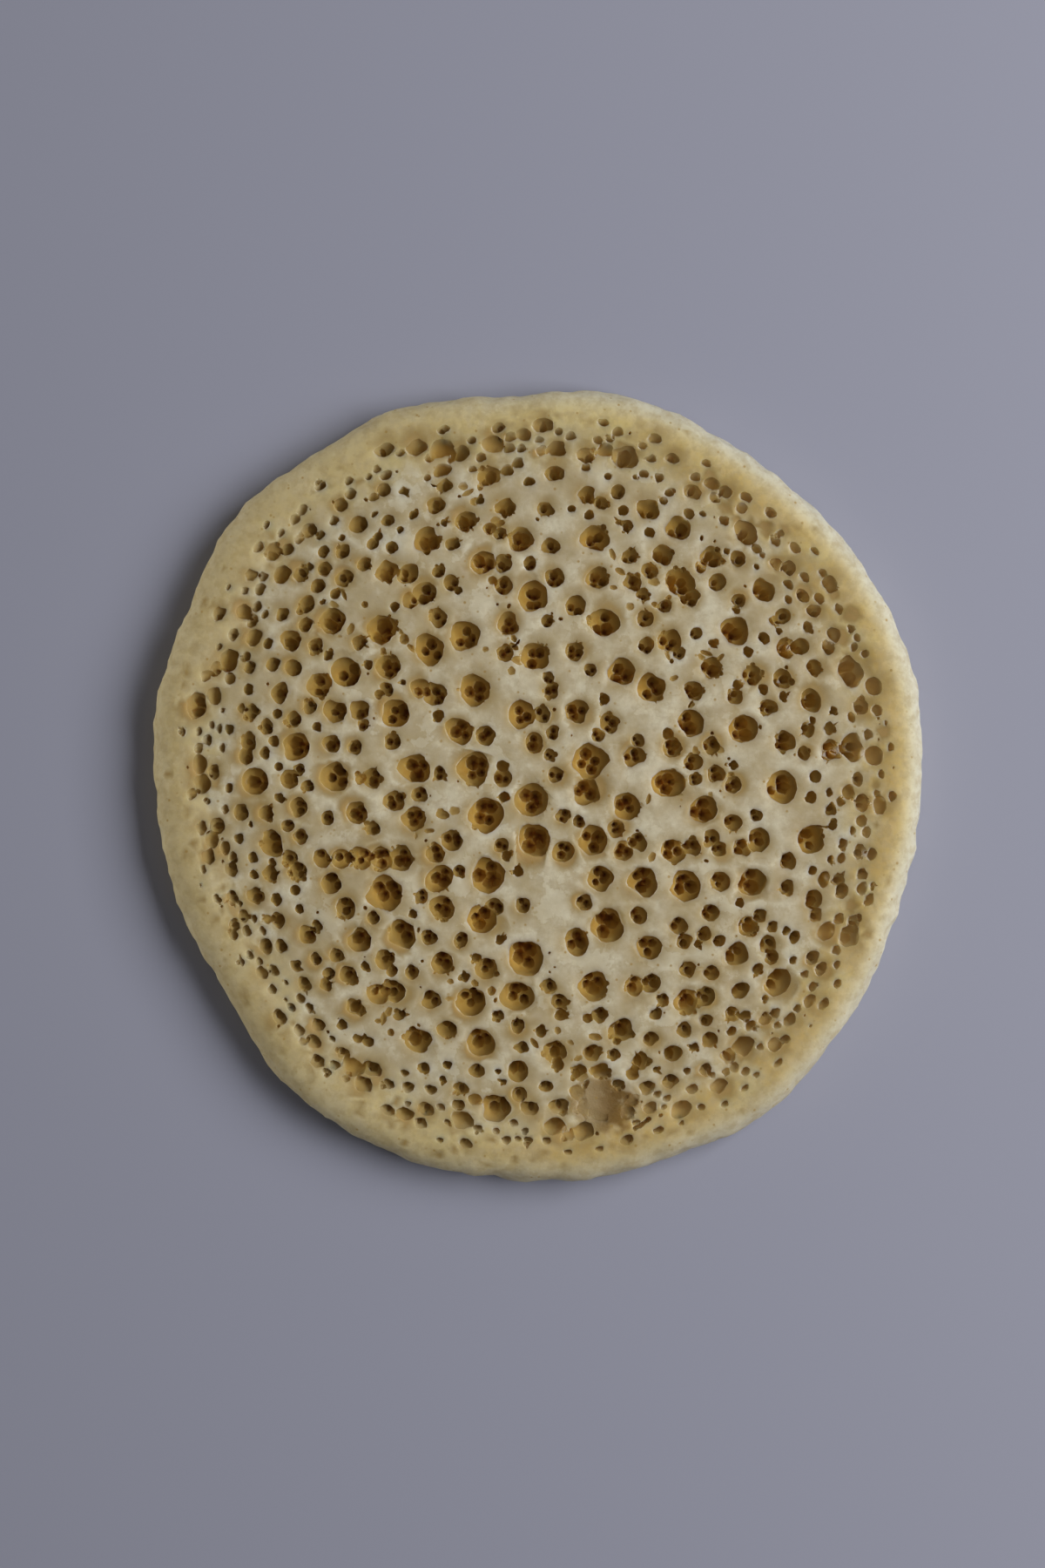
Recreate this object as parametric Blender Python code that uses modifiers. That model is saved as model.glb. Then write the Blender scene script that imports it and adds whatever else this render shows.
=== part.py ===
"""A qatayef pancake: a thin round batter cake, griddled on one side only.

The underside is flat. The top has a smooth raised rim and, inside it, a skin broken by
open pits left by bubbles. All lengths are in millimetres until they reach Blender.
"""

import math
import random

import bmesh
import bpy
from mathutils import Matrix, Vector

MM = 0.001

# Driving sizes of the cake
MEAN_RADIUS = 54.9
PLATEAU = 5.6            # height of the skin inside the rim
RIM_RISE = 0.8           # how far the rim's crest stands above the plateau
CREST_IN = 4.5           # from the edge to the crest
RIM_FALL = 2.8           # how fast the crest falls away inwards
EDGE_HEIGHT = 2.1        # height of the widest part of the side
BEND = 2.2               # how square the rim is between the edge and the crest, 2 being an ellipse
BASE_IN = 2.6            # from the edge to where the flat base begins
SWELL = 0.18             # gentle unevenness of the plateau
LOBES = (  # how many round the edge, height, direction of the first in degrees
    (1, 0.50, 106), (2, 1.10, 104), (3, 0.65, 26), (4, 0.25, 47), (5, 0.25, 20), (6, 0.30, 9),
    (7, 0.15, 26), (9, 0.12, 33), (11, 0.13, 8), (12, 0.15, 18), (13, 0.16, 0), (15, 0.10, 15),
)
TORN = (9.0, -44.3, 5.6, 1.1)    # the torn hollow near the rim: x, y, radius, depth

# The turned body's rows, as distances in from the edge
TOP_ROWS = (MEAN_RADIUS, 30.0, 11.0, 7.6, 5.8, 4.5, 3.0, 1.6, 0.6, 0.1)
SIDE_ROWS = (0.0, 0.4, 1.2, 2.6)
STEPS = 64

# Pits
SEED = 11
RIM_BAND = 4.0           # the smooth band that no pit enters
ZONES = (  # from the edge, pits in a square centimetre, middle width of a mouth, squeeze
    (4.0, 2.4, 0.85, 0.60),
    (5.5, 7.6, 1.35, 0.62),
    (9.0, 9.4, 1.70, 0.72),
    (13.0, 9.4, 1.90, 0.80),
    (20.0, 7.0, 2.15, 0.86),
    (30.0, 4.9, 2.45, 0.92),
    (55.0, 4.4, 2.50, 0.96),
)
SPREAD = 0.34            # of the widths round their middle, as a natural logarithm
NARROWEST, WIDEST = 0.55, 4.0
WALL = 0.3               # least skin between two mouths
TWINS = 0.30             # share of the wider pits with a smaller one joined to them
TWIN_FROM = 1.8          # the width that counts as wider
TWIN_SIZE = (0.5, 0.95)  # the smaller one's width, as a share of the wider one's
TWIN_REACH = (0.78, 0.98)    # how far apart the two stand, as a share of just touching
TRIES = 16               # places tried for each pit
STRAY_ROUND, STRAY_IN = 9.0, 1.2    # how far from its first place each of them strays
LEAN = 38.0              # degrees that a chamber leans inwards at the edge
LEAN_GROWTH = 1.5        # power by which the lean grows from the middle to the edge
DEPTH_BASE, DEPTH_SLOPE, DEEPEST = 0.9, 0.75, 3.9    # a pit's depth grows with its width
SINK = 0.30              # share of its depth that a chamber's middle lies below the skin
LARGE = (  # x, y and width of the pits large enough to be known by their place
    (-2.0, -24.0, 5.2), (9.5, -19.5, 4.7), (-9.0, 2.5, 4.5), (7.0, 3.5, 4.6), (6.5, -0.8, 3.6),
    (-1.0, -2.0, 4.2), (-7.5, -4.0, 4.7), (-0.7, -7.5, 4.6), (-7.2, -12.5, 4.8),
    (-21.5, -15.0, 4.8), (20.5, -14.0, 4.1), (34.0, 0.0, 4.2), (38.0, -7.5, 4.0), (9.0, 23.0, 4.0),
    (-27.0, 16.0, 4.2), (-30.8, 14.2, 3.6), (-9.0, 13.5, 4.2), (11.5, 16.0, 3.9), (15.7, 13.8, 3.9),
    (-17.0, -35.5, 4.0), (-6.0, -45.0, 4.4), (7.5, -28.0, 4.2), (-3.0, -29.5, 4.4),
    (-22.0, 22.0, 4.3), (43.5, 16.0, 4.4), (12.0, 46.0, 3.8), (28.5, 8.0, 4.0), (29.0, 35.5, 3.9),
)
ROW_START, ROW_STEP, ROW_COUNT = (-30.4, -10.1), 2.75, 5    # a run of pits that touch
BALD = (  # x, y and radius of the places with no pit
    (14.4, 9.0, 3.4), (-9.0, 26.0, 3.4), (2.5, -19.0, 2.6), (17.5, -4.5, 3.6), (9.0, -44.3, 5.0),
    (1.0, -13.3, 3.2), (-24.5, 26.5, 2.6), (-13.5, -3.0, 3.0), (4.5, -33.5, 2.6), (-15.5, 6.5, 2.4),
)
# The solid has the widest pits only: how many, then sides and rings of each
CUT_CLASSES = ((50, 8, 5), (140, 6, 4))

BATTER = (0.40, 0.31, 0.17, 1.0)


def outline(angle):
    """The edge's distance from the middle in one direction."""
    return MEAN_RADIUS + sum(
        height * math.cos(count * (angle - math.radians(first))) for count, height, first in LOBES
    )


def from_edge(x, y):
    """How far inside the edge a point lies, on the scale of the mean radius."""
    return MEAN_RADIUS * (1 - math.hypot(x, y) / outline(math.atan2(y, x)))


def top_height(edge):
    """The top's height on the turned profile."""
    if edge < CREST_IN:
        run = 1 - edge / CREST_IN
        rise = PLATEAU + RIM_RISE - EDGE_HEIGHT
        return EDGE_HEIGHT + rise * (1 - run ** BEND) ** (1 / BEND)
    return PLATEAU + RIM_RISE * math.exp(-(((edge - CREST_IN) / RIM_FALL) ** 2))


def side_height(edge):
    """The height of the side below its widest part, a quarter of an ellipse."""
    run = 1 - edge / BASE_IN
    return EDGE_HEIGHT * (1 - math.sqrt(max(0.0, 1 - run * run)))


def unevenness(x, y):
    """What the plateau's swell and the torn hollow add to the top's height."""
    inside = min(1.0, max(0.0, (from_edge(x, y) - 1.0) / 6.0))
    swell = math.sin(0.16 * x + 0.7) * math.cos(0.13 * y - 0.4) + 0.6 * math.sin(0.24 * y - 0.1 * x)
    torn_x, torn_y, radius, depth = TORN
    away = math.hypot(x - torn_x, y - torn_y) / radius
    dent = depth * math.cos(away * math.pi / 2) ** 2 if away < 1 else 0.0
    return SWELL * inside * swell - dent


def skin(x, y):
    """Height of the top before any pit is cut."""
    return top_height(from_edge(x, y)) + unevenness(x, y)


def zone(edge, column):
    """One column of ZONES, read between its rows."""
    for low, high in zip(ZONES, ZONES[1:]):
        if edge <= high[0]:
            share = max(0.0, (edge - low[0]) / (high[0] - low[0]))
            return low[column] + share * (high[column] - low[column])
    return ZONES[-1][column]


def gap(x, y, width, placed):
    """The skin left between a new mouth and the nearest one."""
    return min(math.hypot(x - px, y - py) - (width + other) / 2 for px, py, other in placed)


def is_bald(x, y, width):
    return any(math.hypot(x - bx, y - by) < radius + 0.3 * width for bx, by, radius in BALD)


def named_pits():
    start_x, start_y = ROW_START
    row = [(start_x + i * ROW_STEP, start_y, 2.7 + 0.2 * i) for i in range(ROW_COUNT)]
    return list(LARGE) + row


def wanted_pits(draw):
    """Widths and first places of the other pits, widest first."""
    densest = max(row[1] for row in ZONES)
    reach = MEAN_RADIUS + 4
    wanted = []
    for _ in range(int(densest * (2 * reach / 10) ** 2)):
        x, y = draw.uniform(-reach, reach), draw.uniform(-reach, reach)
        edge = from_edge(x, y)
        if edge < RIM_BAND or draw.random() * densest > zone(edge, 1):
            continue
        width = zone(edge, 2) * math.exp(draw.gauss(0, SPREAD))
        most = WIDEST * min(1, 0.35 + edge / 14)
        wanted.append((min(max(width, NARROWEST), most), x, y))
    return sorted(wanted, reverse=True)


def clearest_place(draw, width, x, y, placed):
    """Of a few places about as far from the edge, the one with the most skin round it."""
    angle, edge = math.atan2(y, x), from_edge(x, y)
    best = None
    for _ in range(TRIES):
        turn = angle + draw.uniform(-1, 1) * STRAY_ROUND / max(5, math.hypot(x, y))
        out = outline(turn) - max(RIM_BAND + width / 4, edge + draw.gauss(0, STRAY_IN))
        new_x, new_y = out * math.cos(turn), out * math.sin(turn)
        if not is_bald(new_x, new_y, width):
            tried = (gap(new_x, new_y, width, placed), new_x, new_y)
            best = max(best, tried) if best else tried
    return best


def twin(draw, width, x, y, placed):
    """A smaller pit joined to the one at x, y, or nothing where it doesn't fit."""
    size = width * draw.uniform(*TWIN_SIZE)
    turn = draw.uniform(0, 2 * math.pi)
    reach = (width + size) / 2 * draw.uniform(*TWIN_REACH)
    new_x, new_y = x + reach * math.cos(turn), y + reach * math.sin(turn)
    others = [pit for pit in placed if pit[:2] != (x, y)]
    fits = from_edge(new_x, new_y) > RIM_BAND + size / 2 and gap(new_x, new_y, size, others) > WALL / 2
    return [(new_x, new_y, size)] if fits else []


def all_pits():
    """Every pit of the cake as x, y and width of its mouth, the named ones first."""
    draw = random.Random(SEED)
    named = named_pits()
    placed = list(named)
    for width, x, y in wanted_pits(draw):
        inside = any(math.hypot(x - px, y - py) < 0.4 * other for px, py, other in named)
        best = None if inside and width > 2 else clearest_place(draw, width, x, y, placed)
        if not best:
            continue
        free, new_x, new_y = best
        if free > WALL:
            placed.append((new_x, new_y, width))
            if width > TWIN_FROM and draw.random() < TWINS:
                placed += twin(draw, width, new_x, new_y, placed)
    return placed


def chamber_matrix(x, y, width):
    """Places a unit sphere as the bubble under one mouth, leaning inwards as it goes down."""
    edge = from_edge(x, y)
    angle = math.atan2(y, x)
    depth = min(DEEPEST, DEPTH_BASE + DEPTH_SLOPE * width)
    neck = math.sqrt(1 - (SINK / (1 - SINK)) ** 2)
    across = width / 2 / neck
    slope = math.tan(math.radians(LEAN * (math.hypot(x, y) / MEAN_RADIUS) ** LEAN_GROWTH))
    size = Matrix.Diagonal((across * zone(edge, 3), across, depth * (1 - SINK), 1))
    lean = Matrix.Identity(4)
    lean[0][2] = slope
    sink = depth * SINK
    inwards = Vector((-math.cos(angle), -math.sin(angle), 0))
    middle = Vector((x, y, skin(x, y) - sink)) + inwards * slope * sink
    turn = Matrix.Rotation(angle, 4, "Z")
    return Matrix.Translation(middle * MM) @ turn @ lean @ size @ Matrix.Scale(MM, 4)


def collection(name):
    made = bpy.data.collections.new(name)
    bpy.context.scene.collection.children.link(made)
    return made


def add_object(name, mesh, into):
    made = bpy.data.objects.new(name, mesh)
    into.objects.link(made)
    return made


def profile_mesh():
    """Half a section, from the middle of the top round the edge to the middle of the base."""
    points = [(MEAN_RADIUS - edge, top_height(edge)) for edge in TOP_ROWS]
    points += [(MEAN_RADIUS - edge, side_height(edge)) for edge in SIDE_ROWS]
    points.append((0.0, 0.0))
    mesh = bpy.data.meshes.new("section")
    edges = [(i, i + 1) for i in range(len(points) - 1)]
    mesh.from_pydata([(x * MM, 0.0, z * MM) for x, z in points], edges, [])
    return mesh


def turned_mesh(into):
    """The section turned into a round cake."""
    section = add_object("section", profile_mesh(), into)
    screw = section.modifiers.new("turn", "SCREW")
    screw.steps = screw.render_steps = STEPS
    screw.use_merge_vertices = True
    screw.merge_threshold = 0.00001
    evaluated = section.evaluated_get(bpy.context.evaluated_depsgraph_get())
    mesh = bpy.data.meshes.new_from_object(evaluated)
    bpy.data.objects.remove(section)
    return mesh


def shape_cake(mesh):
    """Gives the round cake its lobed outline and uneven top, centred over the origin."""
    for vertex in mesh.vertices:
        x, y, z = vertex.co / MM
        stretch = outline(math.atan2(y, x)) / MEAN_RADIUS
        x, y = x * stretch, y * stretch
        if z > EDGE_HEIGHT:
            z += unevenness(x, y)
        vertex.co = Vector((x, y, z)) * MM


def centre(mesh):
    """Moves the mesh so that the middle of its box is over the origin, and its base at 0."""
    lows = [min(v.co[axis] for v in mesh.vertices) for axis in range(3)]
    highs = [max(v.co[axis] for v in mesh.vertices) for axis in range(3)]
    middle = Vector(((lows[0] + highs[0]) / 2, (lows[1] + highs[1]) / 2, lows[2]))
    mesh.transform(Matrix.Translation(-middle))
    mesh.update()


def bubble_mesh(sides, rings):
    mesh = bpy.data.meshes.new(f"bubble_{sides}")
    shape = bmesh.new()
    bmesh.ops.create_uvsphere(shape, u_segments=sides, v_segments=rings, radius=1.0)
    shape.to_mesh(mesh)
    shape.free()
    return mesh


def pit_cutters(into):
    """One bubble for each of the widest pits, the widest of all with more sides."""
    widest = sorted(all_pits(), key=lambda pit: -pit[2])
    start = 0
    for count, sides, rings in CUT_CLASSES:
        mesh = bubble_mesh(sides, rings)
        for x, y, width in widest[start : start + count]:
            cutter = add_object("bubble", mesh, into)
            cutter.matrix_world = chamber_matrix(x, y, width)
            cutter.hide_render = True
            cutter.display_type = "WIRE"
        start += count


def cut_pits(cake, cutters):
    """Takes every bubble out of the cake in one Boolean, then removes them."""
    cut = cake.modifiers.new("pits", "BOOLEAN")
    cut.operation = "DIFFERENCE"
    cut.operand_type = "COLLECTION"
    cut.collection = cutters
    cut.solver = "MANIFOLD"
    evaluated = cake.evaluated_get(bpy.context.evaluated_depsgraph_get())
    cake.data = bpy.data.meshes.new_from_object(evaluated)
    cake.modifiers.clear()
    for cutter in list(cutters.objects):
        bpy.data.objects.remove(cutter)
    bpy.data.collections.remove(cutters)


def batter_material():
    material = bpy.data.materials.new("griddled_batter")
    material.use_nodes = True
    shader = material.node_tree.nodes["Principled BSDF"]
    shader.inputs["Base Color"].default_value = BATTER
    shader.inputs["Roughness"].default_value = 0.6
    shader.inputs["Metallic"].default_value = 0.0
    return material


def main():
    for old in list(bpy.data.objects):
        bpy.data.objects.remove(old)
    parts = collection("qatayef_pancake")
    cutters = collection("bubbles")
    mesh = turned_mesh(parts)
    shape_cake(mesh)
    cake = add_object("pancake", mesh, parts)
    pit_cutters(cutters)
    cut_pits(cake, cutters)
    centre(cake.data)
    cake.data.materials.clear()
    cake.data.materials.append(batter_material())
    cake.data.shade_smooth()
    cake.data.set_sharp_from_angle(angle=math.radians(50))


main()
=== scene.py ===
"""The looks of a qatayef pancake, laid out as a Blender add-on and run as a script.

The pancake is turned, lobed, pitted and coloured here by the rule that its solid follows,
with every pit, the cells in the pits' floors, torn lips and pores. Sizes in the rule are in
millimetres, and become metres where they reach Blender.
"""

import math
import random
from types import SimpleNamespace

import bmesh
import bpy
import numpy as np
from bpy.props import FloatProperty, FloatVectorProperty, IntProperty, PointerProperty
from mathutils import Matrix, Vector


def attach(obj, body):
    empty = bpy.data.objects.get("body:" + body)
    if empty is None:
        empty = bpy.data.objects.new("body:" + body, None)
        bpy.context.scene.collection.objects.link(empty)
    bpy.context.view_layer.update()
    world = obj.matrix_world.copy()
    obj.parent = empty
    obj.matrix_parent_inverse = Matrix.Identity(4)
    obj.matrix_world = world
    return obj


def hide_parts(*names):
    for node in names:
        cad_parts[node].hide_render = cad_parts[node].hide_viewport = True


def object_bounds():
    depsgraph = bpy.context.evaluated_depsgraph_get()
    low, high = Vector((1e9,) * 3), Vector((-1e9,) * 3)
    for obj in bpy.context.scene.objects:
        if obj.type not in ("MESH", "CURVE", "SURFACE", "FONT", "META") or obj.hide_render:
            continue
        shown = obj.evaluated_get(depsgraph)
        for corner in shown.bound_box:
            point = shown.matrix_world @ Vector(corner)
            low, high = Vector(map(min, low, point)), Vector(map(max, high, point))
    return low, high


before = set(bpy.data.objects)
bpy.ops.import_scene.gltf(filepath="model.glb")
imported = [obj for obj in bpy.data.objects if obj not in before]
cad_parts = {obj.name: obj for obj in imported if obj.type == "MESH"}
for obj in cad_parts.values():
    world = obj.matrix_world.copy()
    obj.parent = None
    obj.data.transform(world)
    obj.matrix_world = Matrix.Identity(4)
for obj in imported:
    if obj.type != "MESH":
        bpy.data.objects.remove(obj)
CAD_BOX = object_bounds()

bl_info = {
    "name": "Qatayef pancake",
    "version": (1, 0, 0),
    "blender": (4, 5, 0),
    "location": "3D View > Sidebar > Qatayef",
    "description": "Builds a pitted qatayef pancake and a plain stage for it",
    "category": "Object",
}

MM = 0.001
BODY = "root"
NODE = "pancake"
MATERIAL = "griddled batter"
ABOVE = 0.02             # metres; well above the cake

# ---- The cake's form -------------------------------------------------------------------

MEAN_RADIUS = 54.9
PLATEAU = 5.6            # height of the skin inside the rim
RIM_RISE = 0.8           # how far the rim's crest stands above the plateau
CREST_IN = 4.5           # from the edge to the crest
RIM_FALL = 2.8           # how fast the crest falls away inwards
EDGE_HEIGHT = 2.1        # height of the widest part of the side
BEND = 2.5               # how square the rim is between the edge and the crest
BASE_IN = 2.6            # from the edge to where the flat base begins
SWELL = 0.18             # gentle unevenness of the plateau
LOBES = (  # how many round the edge, height, direction of the first in degrees
    (1, 0.50, 106), (2, 1.10, 104), (3, 0.65, 26), (4, 0.25, 47), (5, 0.25, 20), (6, 0.30, 9),
    (7, 0.15, 26), (9, 0.12, 33), (11, 0.13, 8), (12, 0.15, 18), (13, 0.16, 0), (15, 0.10, 15),
)
TORN = (9.0, -44.3, 5.6, 1.1)    # the torn hollow near the rim: x, y, radius, depth
TURN_STEPS = 384
ROW_SPACING = 0.55       # between the turned body's rows
CREST_ROWS, FOOT_ROWS = 16, 9    # rows round the crest and round the foot
BASE_ROWS = (0.7, 0.4, 0.0)      # the flat base's rows, as shares of the radius
CRINKLE = 1.5            # fine unevenness of the edge
RIPPLE = 0.35            # fine unevenness of the top's height

# ---- Pits, as in the solid -------------------------------------------------------------

SEED = 11
RIM_BAND = 4.0           # the smooth band that no pit enters
ZONES = (  # from the edge, pits in a square centimetre, middle width of a mouth, squeeze
    (4.0, 2.4, 0.85, 0.60),
    (5.5, 7.6, 1.35, 0.62),
    (9.0, 9.4, 1.70, 0.72),
    (13.0, 9.4, 1.90, 0.80),
    (20.0, 7.0, 2.15, 0.86),
    (30.0, 4.9, 2.45, 0.92),
    (55.0, 4.4, 2.50, 0.96),
)
SPREAD = 0.34            # of the widths round their middle, as a natural logarithm
NARROWEST, WIDEST = 0.55, 4.0
WALL = 0.3               # least skin between two mouths
TWINS = 0.30             # share of the wider pits with a smaller one joined to them
TWIN_FROM = 1.8          # the width that counts as wider
TWIN_SIZE = (0.5, 0.95)  # the smaller one's width, as a share of the wider one's
TWIN_REACH = (0.78, 0.98)    # how far apart the two stand, as a share of just touching
TRIES = 16               # places tried for each pit
STRAY_ROUND, STRAY_IN = 9.0, 1.2    # how far from its first place each of them strays
LEAN = 38.0              # degrees that a chamber leans inwards at the edge
LEAN_GROWTH = 1.5        # power by which the lean grows from the middle to the edge
DEPTH_BASE, DEPTH_SLOPE, DEEPEST = 0.9, 0.75, 3.9    # a pit's depth grows with its width
SINK = 0.30              # share of its depth that a chamber's middle lies below the skin
WIDTH_VARIES = (0.95, 1.15)  # how much wider or narrower across a chamber is than its zone's
LARGE = (  # x, y and width of the pits large enough to be known by their place
    (-2.0, -24.0, 5.2), (9.5, -19.5, 4.7), (-9.0, 2.5, 4.5), (7.0, 3.5, 4.6), (6.5, -0.8, 3.6),
    (-1.0, -2.0, 4.2), (-7.5, -4.0, 4.7), (-0.7, -7.5, 4.6), (-7.2, -12.5, 4.8),
    (-21.5, -15.0, 4.8), (20.5, -14.0, 4.1), (34.0, 0.0, 4.2), (38.0, -7.5, 4.0), (9.0, 23.0, 4.0),
    (-27.0, 16.0, 4.2), (-30.8, 14.2, 3.6), (-9.0, 13.5, 4.2), (11.5, 16.0, 3.9), (15.7, 13.8, 3.9),
    (-17.0, -35.5, 4.0), (-6.0, -45.0, 4.4), (7.5, -28.0, 4.2), (-3.0, -29.5, 4.4),
    (-22.0, 22.0, 4.3), (43.5, 16.0, 4.4), (12.0, 46.0, 3.8), (28.5, 8.0, 4.0), (29.0, 35.5, 3.9),
)
ROW_START, ROW_STEP, ROW_COUNT = (-30.4, -10.1), 2.75, 5    # a run of pits that touch
BALD = (  # x, y and radius of the places with no pit
    (14.4, 9.0, 3.4), (-9.0, 26.0, 3.4), (2.5, -19.0, 2.6), (17.5, -4.5, 3.6), (9.0, -44.3, 5.0),
    (1.0, -13.3, 3.2), (-24.5, 26.5, 2.6), (-13.5, -3.0, 3.0), (4.5, -33.5, 2.6), (-15.5, 6.5, 2.4),
)

# ---- What the solid leaves out ----------------------------------------------------------

CELLS_FROM = 1.7         # the width from which a pit's floor has cells
CELL_STEP = 1.25         # another cell for each of this much width
CELL_RING = 0.25         # their distance from the pit's middle, as a share of its width
CELL_SIZE, CELL_LOSS = 0.36, 0.03    # their half width as that share, less this for each cell
CELL_DOWN = (0.50, 0.62)     # how deep their middles lie, as a share of the pit's depth
CELL_DEPTH = 0.44        # their half height, as a share of it
CELL_LOW = 0.4           # their least half height
CELLS_VARY = {           # what each is multiplied by, except the way, which is turned
    "count": (0.75, 1.1), "way": (-0.3, 0.3), "ring": (0.65, 1.15), "half": (0.7, 1.2),
    "down": (0.85, 1.15), "along": (0.9, 1.15),
}
OVER_CELLS = 0.58        # depth of a chamber with cells under it, as a share of another's
CRUMB_LEFT = 0.8         # least crumb left over the griddled face
TEAR_SHARE = (0.15, 0.55)    # share of the pits with a torn lip, at the rim and in the middle
TEAR_ZONE = 22.0         # from the edge to where the middle begins
TEAR_SPAN = (0.8, 3.2)   # how much of the lip is torn, in radians
TEAR_REACH = (0.78, 0.95)    # the bites' distance from the middle, as a share of half the width
NIBBLES = 0.5            # bites for each radian and millimetre of width
NIBBLE = (0.26, 0.60)    # half width of one bite out of a torn lip
SPIKE = (0.45, 0.90, 0.18, 0.34)     # a pointed tear's least and most half length, then half width
TEAR_DEPTH = (1.2, 2.2)  # a bite's half height, as a share of its half width
FLAKY = (  # x, y and radius of the places where the skin is torn and flakes
    (-26.0, 24.5, 5.0), (-21.0, 18.5, 4.5), (-5.0, 19.8, 4.5), (12.5, 28.5, 6.0),
    (21.0, 15.5, 5.0), (22.3, 2.7, 5.0), (-14.3, -5.8, 5.0), (17.0, -4.6, 6.0),
    (-22.8, -32.0, 4.5), (2.8, -33.9, 6.0), (-9.4, 40.0, 5.0), (-9.4, -30.5, 4.5),
    (9.0, -40.6, 4.5),
)
CRACKS = 5               # short crooked cracks that run from a lip
CRACK_STEP = 0.22        # between their cuts
CRACK_CUT = (0.3, 1.5)   # a cut's half length and half height
CRACK_CUTS = (3, 8)      # how many cuts a crack has: at least, and fewer than
CRACK_FROM = (8, 1.2)    # least distance from the edge, and least width of the mouth
CRACK_FLAKY = 0.7        # share of the cracks that run where the skin flakes
CRACK = ((0.10, 0.22), 0.25)     # their half width, and how much each cut turns from the last
SLIT = (13.1, -47.9, 0.42, 12, (0.30, 0.38), 0.04)   # a named one: start, direction, cuts, as above
RIM_TRIES = 1000         # places tried for the shallower pits just inside the smooth band
RIM_PIT = (1.1, 3.3)     # their widths
RIM_PIT_IN = (4.7, 13.0, 6.4)    # from the edge: least, most and likeliest
RIM_DEPTH = 0.72         # their depth, as a share of another pit's
RIM_DEPTH_VARIES = (0.7, 1.3)
HOLLOW_BITES = 9         # shallow torn bubbles side by side in the torn hollow
HOLLOW_BITE = (0.8, 1.8, 0.35, 0.8)  # their least and most half length, then half height
HOLLOW_REACH = (0.85, 0.7)   # how far out they lie, as a share of its radius, and squeezed along y
SCUFFS = 7               # shallow torn patches in each place where the skin flakes
SCUFF = (0.5, 1.2, 0.4, 0.8, 0.3, 0.8)   # their half length, half width and half height
HOLLOW_PITS = (          # x, y and width of the shallow pits on the hollow's border
    (5.6, -39.7, 2.0), (8.6, -39.8, 2.8), (13.0, -40.2, 2.0), (5.3, -48.4, 2.4), (11.0, -41.6, 1.8),
)
PORES = 190              # small torn holes in the skin
PORE_SIZE = (0.16, 0.36)     # their half width
PORE_LENGTH, PORE_DEPTH = (0.7, 1.5), 3.0    # half length and half height, as shares of it
SHAPES_ROUND, SHAPES_TORN = 11, 5    # kinds of bubble: rounded ones, then jagged ones
CELL_SHAPE = SHAPES_ROUND + SHAPES_TORN  # and last the plain one of the cells
UNEVENNESS, TEAR = 0.9, 1.6  # how uneven the rounded kinds are, and the jagged ones
HALO_FROM = 1.9          # the width from which the skin sinks round a mouth
HALO_ASIDE = 0.30        # how far aside of it, as a share of its width
HALO = {"soft": (0.5, 1.2), "tint": (0.4, 1.0), "sunk": (0.1, 0.4)}
DIMPLES = 170            # shallow sealed bubbles in the rim
DIMPLES_SIDE = (3.4, 1.3)    # the direction of most of them and its spread, in radians
DIMPLES_IN = (2.0, 10.0)     # from the edge
DIMPLE = {"half": (0.2, 0.6), "soft": (0.15, 0.5), "sunk": (0.05, 0.2), "tint": (0.3, 0.9)}
SEALED = 34              # larger sealed bubbles, most of them on the right
SEALED_SIDE = (0.45, 0.75)   # as above
SEALED_IN = (4.8, 9.0)   # from the edge
SEALED_BUBBLE = {"half": (0.7, 1.4), "soft": 0.3, "sunk": (0.1, 0.3), "tint": (0.8, 1.0)}
SEALED_OVERLAP = -0.6    # least gap to a pit: they may reach over one


# ---- The rule --------------------------------------------------------------------------


def outline(angle):
    """The edge's distance from the middle in one direction."""
    return MEAN_RADIUS + sum(
        height * math.cos(count * (angle - math.radians(first))) for count, height, first in LOBES
    )


def inside_edge(angle, distance):
    """The point that lies this far inside the edge in one direction."""
    out = outline(angle) - distance
    return out * math.cos(angle), out * math.sin(angle)


def from_edge(x, y):
    """How far inside the edge a point lies, on the scale of the mean radius."""
    return MEAN_RADIUS * (1 - math.hypot(x, y) / outline(math.atan2(y, x)))


def top_height(edge):
    """The top's height on the turned section."""
    if edge < CREST_IN:
        run = 1 - edge / CREST_IN
        rise = PLATEAU + RIM_RISE - EDGE_HEIGHT
        return EDGE_HEIGHT + rise * (1 - run ** BEND) ** (1 / BEND)
    return PLATEAU + RIM_RISE * math.exp(-(((edge - CREST_IN) / RIM_FALL) ** 2))


def unevenness(x, y):
    """What the plateau's swell and the torn hollow add to the top's height."""
    inside = min(1.0, max(0.0, (from_edge(x, y) - 1.0) / 6.0))
    swell = math.sin(0.16 * x + 0.7) * math.cos(0.13 * y - 0.4) + 0.6 * math.sin(0.24 * y - 0.1 * x)
    torn_x, torn_y, radius, depth = TORN
    away = math.hypot(x - torn_x, y - torn_y) / radius
    dent = depth * math.cos(away * math.pi / 2) ** 2 if away < 1 else 0.0
    return SWELL * inside * swell - dent


def skin(x, y):
    """Height of the top before any pit is cut."""
    return top_height(from_edge(x, y)) + unevenness(x, y)


def zone(edge, column):
    """One column of ZONES, read between its rows."""
    for low, high in zip(ZONES, ZONES[1:]):
        if edge <= high[0]:
            share = max(0.0, (edge - low[0]) / (high[0] - low[0]))
            return low[column] + share * (high[column] - low[column])
    return ZONES[-1][column]


def gap(x, y, width, placed):
    """The skin left between a new mouth and the nearest one."""
    return min(math.hypot(x - px, y - py) - (width + other) / 2 for px, py, other in placed)


def is_bald(x, y, width):
    return any(math.hypot(x - bx, y - by) < radius + 0.3 * width for bx, by, radius in BALD)


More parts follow.
